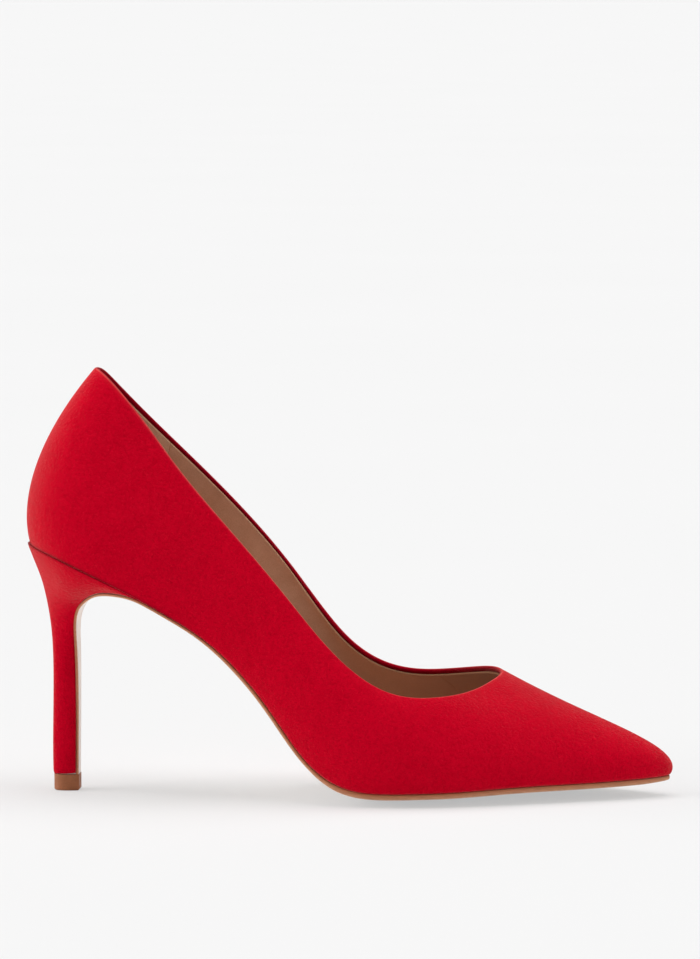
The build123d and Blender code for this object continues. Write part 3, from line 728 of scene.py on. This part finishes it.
def stiff_low(u):
    return wall_foot(u, SUEDE, SUEDE + 0.6)


def stiff_high(u):
    return wall_head(u, FOLD_WIDTH + 0.5)


def make_stiffeners():
    u = np.linspace(-COUNTER_U, COUNTER_U, 80)
    wall_slab("counter", "heel_counter", u, stiff_low(u), stiff_high(u), stiff_look)
    u = np.linspace(PUFF_U, TURN - PUFF_U, 60)
    wall_slab("puff", "toe_puff", u, stiff_low(u), np.full(60, PUFF_V), stiff_look)
    u = np.linspace(COUNTER_U + 0.1, TURN - COUNTER_U - 0.1, 200)
    # at the toe the interlining starts just above the puff
    over_puff = (np.abs(u - TURN / 2) < TURN / 2 - PUFF_U + 0.12) * 1.0
    low = stiff_low(u) * (1 - over_puff) + (PUFF_V + 0.01) * over_puff
    wall_slab("interlining", "vamp_interlining", u, low, stiff_high(u), cloth_look)


make_upper()
lining_piece("lining_grip", "heel_grip", -HEEL_GRIP_U, HEEL_GRIP_U, grip)
lining_piece("lining_outer", "quarter_lining_outer", HEEL_GRIP_U, VAMP_U, lining)
lining_piece("lining_vamp", "vamp_lining", VAMP_U, TURN - VAMP_U, lining)
lining_piece("lining_inner", "quarter_lining_inner", TURN - VAMP_U, TURN - HEEL_GRIP_U, lining)
make_stiffeners()


# Sock and its foam
SOCK_SHORT = 8
SOCK_END = 0.012
DISH = 0.35


def inset_plan(u, inset):
    turn = unit(feather_plan(u, slope=True))
    return feather_plan(u) + inset * np.stack([-turn[..., 1], turn[..., 0]], -1)


def half_widths(inset):
    """Functions giving y of the inset outline at x, on the outer and the inner side."""
    u = np.linspace(0, TURN / 2, 1500)
    sides = inset_plan(u, inset), inset_plan(TURN - u, inset)
    return [lambda x, side=side: np.interp(x, side[:, 0], side[:, 1]) for side in sides]


def foam_low(x):
    return TUCK_LOW + (TUCK_BOARD + 0.1) * fade(x, *TUCK_BOARD_ENDS)


def bottom_layer(name, node, inset, low, high, look, edge):
    """Dished layer on the insole, between two heights above the foam's lower side."""
    outer, inner = half_widths(inset)
    back, tip = inset_plan(np.array([0.0, TURN / 2]), inset)[:, 0]
    tip -= SOCK_SHORT
    x = (back + (tip - back) * ease(np.linspace(SOCK_END, 1 - SOCK_END, 150)))[:, None]
    q = ease(np.linspace(0, 1, 25))[None, :]
    y = outer(x) + (inner(x) - outer(x)) * q
    x = np.broadcast_to(x, y.shape)
    sag = DISH * hump(q)
    upper = np.stack([x, y, seat(x, y) + (foam_low(x) + high - sag) / seat_cos(x)], -1)
    lower = np.stack([x, y, seat(x, y) + (foam_low(x) + low - sag * 0.7) / seat_cos(x)], -1)
    return finished(slab(name, upper, lower, [look, look, edge], bevel=0.25), node)


bottom_layer("sock", "sock_lining", BOARD_INSET + 0.5, FOAM + GAP, FOAM + SOCK, lining, cut_edge)
pad = bottom_layer("sock_pad", "sock_foam", BOARD_INSET + 1.5, GAP, FOAM, foam_look, foam_look)


# Outsole: one strip from the toe, over the arch and down the front of the heel
def lifted(x, lift):
    x = np.asarray(x, float)
    return np.stack([x - lift * seat_slope(x) * seat_cos(x), seat_height(x) + lift * seat_cos(x)], -1)


def run_curve(points):
    steps = np.linalg.norm(np.diff(points, axis=0), axis=1)
    return Curve(np.concatenate([[0], np.cumsum(steps)]), points)


sole_forward = lifted(np.linspace(236, 52, 47), -GAP)
sole_path = run_curve(np.concatenate([sole_forward, np.array(BREAST_LINE)]))
FLAP_RUN = sole_path.t[len(sole_forward)]
SOLE_RUN = sole_path.t[-1]
OUTSOLE_INSET = 0.1
TOE_SHORT = 0.15
# Across the edge, from the upper to the walking side: inset, share of the thickness, edge colour
SOLE_SECTION = [(0.30, 0.0, 0.0), (0.06, 0.08, 0.1), (0.0, 0.35, 0.35), (0.02, 0.62, 0.62),
                (0.14, 0.82, 0.85), (0.34, 0.94, 1.0), (0.62, 1.0, 1.0)]


def sole_point(run, y, depth):
    """Point under the sole path, moved towards the walking side by depth."""
    side = sole_path(run)
    turn = unit(sole_path(run, slope=True))
    x, z = side[..., 0] - turn[..., 1] * depth, side[..., 1] + turn[..., 0] * depth
    return np.stack(np.broadcast_arrays(x, y, z + crown(side[..., 0]) * y * y), -1)


def run_at(x):
    runs = np.linspace(0, FLAP_RUN, 4000)
    return np.interp(-x, -sole_path(runs)[:, 0], runs)


def sole_thickness(run, wing):
    stops = [(0, SOLE_TOE), (14, SOLE_FOREPART), (run_at(115), SOLE_FOREPART), (run_at(105), SOLE_SHANK),
             (run_at(78), SOLE_SHANK), (run_at(62), SOLE_ARCH), (wing + 12, SOLE_ARCH),
             (wing + 40, SOLE_FLAP), (SOLE_RUN, SOLE_FLAP)]
    return np.interp(run, [at for at, thick in stops], [thick for at, thick in stops])


def sole_outline():
    """Run, y of the outer edge, y of the inner edge and thickness, from the toe to the top piece."""
    outer, inner = half_widths(OUTSOLE_INSET)
    tip, wing = run_at(feather_plan(TURN / 2)[0] - TOE_SHORT), run_at(WING_TIP)
    runs = np.linspace(SOLE_RUN - 20, SOLE_RUN, 2000)
    end = np.interp(-TOP_PIECE - GAP, -sole_path(runs)[:, 1], runs)
    flap = run_curve(np.array(BREAST_LINE)).t + FLAP_RUN
    half_width = [float(outer(WING_TIP))] + [-y for y in BREAST_HALF]
    breast_half = Curve(np.concatenate([[wing], flap]), half_width)
    fore = tip + (wing - tip) * np.linspace(0, 1, 190) ** 2
    down = np.linspace(wing, end, 120)[1:]
    x = sole_path(fore)[:, 0]
    # the two sides become even over the first sixth of the way down
    uneven = float(inner(WING_TIP) + outer(WING_TIP)) * np.maximum(0, 1 - (down - wing) / (end - wing) * 6)
    run = np.concatenate([fore, down])
    left = np.concatenate([outer(x), breast_half(down)])
    right = np.concatenate([inner(x), uneven - breast_half(down)])
    return run, left, right, sole_thickness(run, wing)


def sole_side(run, y, thick, sign):
    """Points of one rounded edge of the sole, from the upper to the walking side."""
    inward = unit(np.stack([-np.gradient(y) * sign, np.gradient(run) * sign], -1))
    side = [sole_point(np.maximum(run + inward[:, 0] * inset, 0), y + inward[:, 1] * inset, thick * share)
            for inset, share, tone in SOLE_SECTION]
    return np.stack(side, 1)


def make_outsole():
    run, left, right, thick = sole_outline()
    left_side = sole_side(run, left, thick, 1)
    right_side = sole_side(run, right, thick, -1)
    q = np.linspace(0, 1, 22)[1:-1]
    bottom = left_side[:, -1:, :] + (right_side[:, -1:, :] - left_side[:, -1:, :]) * q[None, :, None]
    top = right_side[:, :1, :] + (left_side[:, :1, :] - right_side[:, :1, :]) * q[None, 3:-3:4, None]
    grid = np.concatenate([left_side, bottom, right_side[:, ::-1], top], 1)
    rows, columns = grid.shape[:2]
    tones = [tone for inset, share, tone in SOLE_SECTION]
    low = np.array(tones + [1] * len(q) + tones[::-1] + [0] * top.shape[1], float)
    first_face, last_face = len(SOLE_SECTION) - 2, len(SOLE_SECTION) + len(q)
    faces = grid_faces(rows, columns, wrap_columns=True)
    indices = [0 if first_face <= i % columns <= last_face else 1 for i in range(len(faces))]
    toe_end, heel_end = range(columns), range((rows - 1) * columns, rows * columns)
    faces += [toe_end[::-1], heel_end]
    indices += [1, 1]
    piece = make_object("outsole_leather", grid.reshape(-1, 3), faces, [sole_face, sole_edge], indices,
                        {"low": np.tile(low, rows)}, sharp=60)
    finished(piece, "outsole")


make_outsole()


# Heel cover: suede wrapped round the heel, its edges turned in at the seat and at the breast
U_STEPS = 248
V_STEPS = 292
COVER_ROWS = 120
COVER_COLUMNS = 96
SEAT_TUCK, SEAT_TUCK_WIDTH = 0.14, 0.3
BREAST_TUCK, BREAST_TUCK_WIDTH = 0.3, 0.6
FOOT_TUCK, FOOT_TUCK_WIDTH = 0.3, 0.35
SEAM_SHADE_WIDTH = 0.4
# Where the searches along the heel begin: v from the seat down, and u from the back round
SEAT_SEARCH = (0, 9)
FOOT_SEARCH_FROM = 9
BREAST_SEARCH_FROM = 2.0
WING_SEARCH_FROM = 3.0
heel_grid = np.array([[(x, -y, z) for x, y, z in level[:0:-1]] + level for level in HEEL_LEVELS], float)
heel_down = Curve(LEVEL_V, heel_grid)
HEEL_STATIONS = np.array([-u for u in ROUND_U[:0:-1]] + ROUND_U)


def sampled_heel():
    """The heel's skin sampled once on a fine grid, then read back by linear steps."""
    us = np.linspace(-HEEL_HALF_U, HEEL_HALF_U, U_STEPS + 1)
    vs = np.linspace(0, HEEL_FOOT_V, V_STEPS + 1)
    levels, drops = heel_down(vs), heel_down(vs, slope=True)
    stack = Curve(HEEL_STATIONS, np.moveaxis(levels, 1, 0))
    fall = Curve(HEEL_STATIONS, np.moveaxis(drops, 1, 0))
    point = stack(us)
    normal = unit(np.cross(stack(us, slope=True), fall(us)))

    def read(u, v):
        u, v = np.broadcast_arrays(np.asarray(u, float), np.asarray(v, float))
        a = np.clip((u + HEEL_HALF_U) / (2 * HEEL_HALF_U) * U_STEPS, 0, U_STEPS - 0.001)
        b = np.clip(v / HEEL_FOOT_V * V_STEPS, 0, V_STEPS - 0.001)
        i, j = a.astype(int), b.astype(int)
        s, t = (a - i)[..., None], (b - j)[..., None]

        def between(grid):
            return ((grid[i, j] * (1 - s) + grid[i + 1, j] * s) * (1 - t)
                    + (grid[i, j + 1] * (1 - s) + grid[i + 1, j + 1] * s) * t)
        return between(point), unit(between(normal))
    return read


heel_at = sampled_heel()
breast_runs = np.linspace(sole_path.t[len(sole_forward) - 9], SOLE_RUN, 900)
breast_points = sole_path(breast_runs)
breast_turns = unit(sole_path(breast_runs, slope=True))


def ahead_of_breast(point):
    """Signed distance past the front of the heel, positive on the open side."""
    flat = point[..., [0, 2]].reshape(-1, 2)
    gap = flat[:, None, :] - breast_points[None]
    near = np.argmin((gap ** 2).sum(-1), axis=1)
    rows = np.arange(len(flat))
    turn = breast_turns[near]
    offset = gap[rows, near]
    return (turn[:, 0] * offset[:, 1] - turn[:, 1] * offset[:, 0]).reshape(point.shape[:-1])


def seat_v(u):
    """v at which the heel meets the seat."""
    def above(v):
        p = heel_at(u, v)[0]
        return p[..., 2] - seat_height(p[..., 0]) + GAP
    return solve(above, *SEAT_SEARCH, np.shape(u))


def breast_u(v, sign):
    """Distance round the heel at which the cover ends at the breast, on one side."""
    def past(u):
        return ahead_of_breast(heel_at(u * sign, v)[0]) + GAP
    return solve(past, BREAST_SEARCH_FROM, HEEL_HALF_U, np.shape(v))


def wing_u(sign):
    """Distance round the heel at which seat and breast meet, on one side."""
    def past(u):
        return ahead_of_breast(heel_at(u * sign, seat_v(u * sign))[0]) + GAP
    return float(solve(past, WING_SEARCH_FROM, HEEL_HALF_U, (1,))[0])


def above_top_piece(v):
    return heel_at(np.zeros(1), v)[0][..., 2] - TOP_PIECE - GAP


def make_heel_cover():
    v_end = float(solve(above_top_piece, FOOT_SEARCH_FROM, HEEL_FOOT_V, (1,))[0])
    a = np.linspace(-1, 1, COVER_COLUMNS)
    b = np.linspace(0, 1, COVER_ROWS) ** 1.25
    top = seat_v(a * np.where(a < 0, wing_u(-1), wing_u(1)))
    v = top[None, :] + (v_end - top[None, :]) * b[:, None]
    edges = [breast_u(v[:, column], sign)[:, None] for column, sign in ((0, -1), (-1, 1))]
    u = np.where(a[None, :] < 0, a[None, :] * edges[0], a[None, :] * edges[1])
    point, normal = heel_at(u, v)

    def distance(edge):
        return np.linalg.norm(point - edge, axis=-1)

    seat_edge, foot_edge = distance(point[:1]), distance(point[-1:])
    breast_edge = np.minimum(distance(point[:, :1]), distance(point[:, -1:]))
    tuck = (SEAT_TUCK * np.exp(-seat_edge / SEAT_TUCK_WIDTH)
            + BREAST_TUCK * np.exp(-breast_edge / BREAST_TUCK_WIDTH)
            + FOOT_TUCK * np.exp(-foot_edge / FOOT_TUCK_WIDTH))
    outside = point - normal * tuck[..., None]
    inside = point - normal * HEEL_COVER
    shade = np.exp(-seat_edge / SEAM_SHADE_WIDTH)
    piece = slab("heel_cover_suede", outside, inside, [suede, suede, suede], values={"shade": shade})
    finished(piece, "heel_cover")


make_heel_cover()

# Carried-over hard parts
CARRIED = {
    "top_piece": rubber, "heel_block": abs_look, "heel_tube": steel_look, "top_piece_pin": steel_look,
    "heel_screw": steel_look, "heel_nails": steel_look, "steel_shank": steel_look, "shank_rivets": steel_look,
    "insole_board": board_look, "tuck_board": board_look, "bottom_filler": felt_look,
}
for name, look in CARRIED.items():
    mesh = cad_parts[name].data
    mesh.materials.clear()
    mesh.materials.append(look)

# Light: three soft suns (name, direction to the light, strength, spread in degrees) and a dim sky
AMBIENT = 0.12
LIGHTS = [("overhead", (0.0, 0.12, 1.0), 2.5, 60), ("left_softbox", (-1.0, -0.15, 0.38), 2.2, 50),
          ("right_softbox", (1.0, -0.1, 0.65), 1.0, 50)]
for name, toward, strength, spread in LIGHTS:
    lamp = bpy.data.objects.new(name, bpy.data.lights.new(name, "SUN"))
    lamp.data.energy, lamp.data.angle = strength, radians(spread)
    lamp.rotation_euler = Vector(toward).to_track_quat("Z", "Y").to_euler()
    bpy.context.scene.collection.objects.link(lamp)

# Floor: its tone follows from the light that reaches it, so that it ends up as pale as the backdrop.
# To the camera, half of that is a glow, which keeps the shadow faint. To the light that bounces
# off it, the floor is brighter by BOUNCE.
BACKDROP = 0.93
GLOW_SHARE = 0.5
MOTTLE = 0.003
BOUNCE = 1.12
arriving = AMBIENT + sum(strength * Vector(toward).normalized().z for _, toward, strength, _ in LIGHTS) / pi
pale = BACKDROP / arriving
visual_low, visual_high = (np.array(corner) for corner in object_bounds())
middle = (visual_low + visual_high) / 2

floor_mesh = bpy.data.meshes.new("floor")
floor_bm = bmesh.new()
bmesh.ops.create_circle(floor_bm, cap_ends=True, segments=64, radius=400)
floor_bm.to_mesh(floor_mesh)
floor_bm.free()
floor = bpy.data.objects.new("floor", floor_mesh)
floor.location.z = visual_low[2] - 0.0001
bpy.context.scene.collection.objects.link(floor)
floor_look = Look("floor_white", Specular_IOR_Level=0.0, Roughness=1.0)
dark_tone, light_tone = ((1 - GLOW_SHARE + change) * pale for change in (-MOTTLE, MOTTLE))
seen_tone = floor_look.share(floor_look.noise(400, 2), (0.3, dark_tone), (0.7, light_tone))
camera_ray = floor_look.node("LightPath").outputs["Is Camera Ray"]
floor_look.colour(floor_look.mix(camera_ray, grey(BOUNCE * pale), seen_tone))
floor_look.glow(camera_ray, GLOW_SHARE * BACKDROP)
floor_mesh.materials.append(floor_look.material)
floor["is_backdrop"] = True

world = bpy.data.worlds.new("studio")
bpy.context.scene.world = world
world.use_nodes = True
sky, join = world.node_tree.nodes, world.node_tree.links.new
ambient = sky["Background"]
ambient.inputs["Color"].default_value = grey(1)
ambient.inputs["Strength"].default_value = AMBIENT
backdrop = sky.new("ShaderNodeBackground")
backdrop.inputs["Color"].default_value = grey(BACKDROP)
choose = sky.new("ShaderNodeMixShader")
join(sky.new("ShaderNodeLightPath").outputs["Is Camera Ray"], choose.inputs[0])
join(ambient.outputs[0], choose.inputs[1])
join(backdrop.outputs[0], choose.inputs[2])
join(choose.outputs[0], sky["World Output"].inputs[0])

# Camera, in degrees and metres. VIEW_HEIGHT is what the height of the picture covers at the shoe.
# The camera looks above the middle of the shoe, because the shoe stands low in the photograph.
AZIMUTH = 4.5
ELEVATION = 6.3
DISTANCE = 2.0
VIEW_HEIGHT = 0.343728
TARGET_SHIFT = (0.0001, 0.00015)
TARGET_HEIGHT = 0.075
AIM_UP = 0.037814
AIM_RIGHT = 0.000179
SENSOR = 36
azimuth, elevation = radians(AZIMUTH), radians(ELEVATION)
backward = Vector((sin(azimuth) * cos(elevation), -cos(azimuth) * cos(elevation), sin(elevation)))
right = Vector((cos(azimuth), sin(azimuth), 0))
upward = backward.cross(right)
target = Vector((middle[0] + TARGET_SHIFT[0], middle[1] + TARGET_SHIFT[1], TARGET_HEIGHT))
camera_data = bpy.data.cameras.new("camera")
camera_data.sensor_width = SENSOR
camera_data.lens = SENSOR * DISTANCE / VIEW_HEIGHT
camera_data.clip_start, camera_data.clip_end = 0.05, 1000
camera = bpy.data.objects.new("camera", camera_data)
camera.location = target + backward * DISTANCE
aim = target + upward * AIM_UP + right * AIM_RIGHT
camera.rotation_mode = "QUATERNION"
camera.rotation_quaternion = (camera.location - aim).to_track_quat("Z", "Y")
bpy.context.scene.collection.objects.link(camera)
bpy.context.scene.camera = camera
bpy.context.scene.view_settings.view_transform = "Standard"
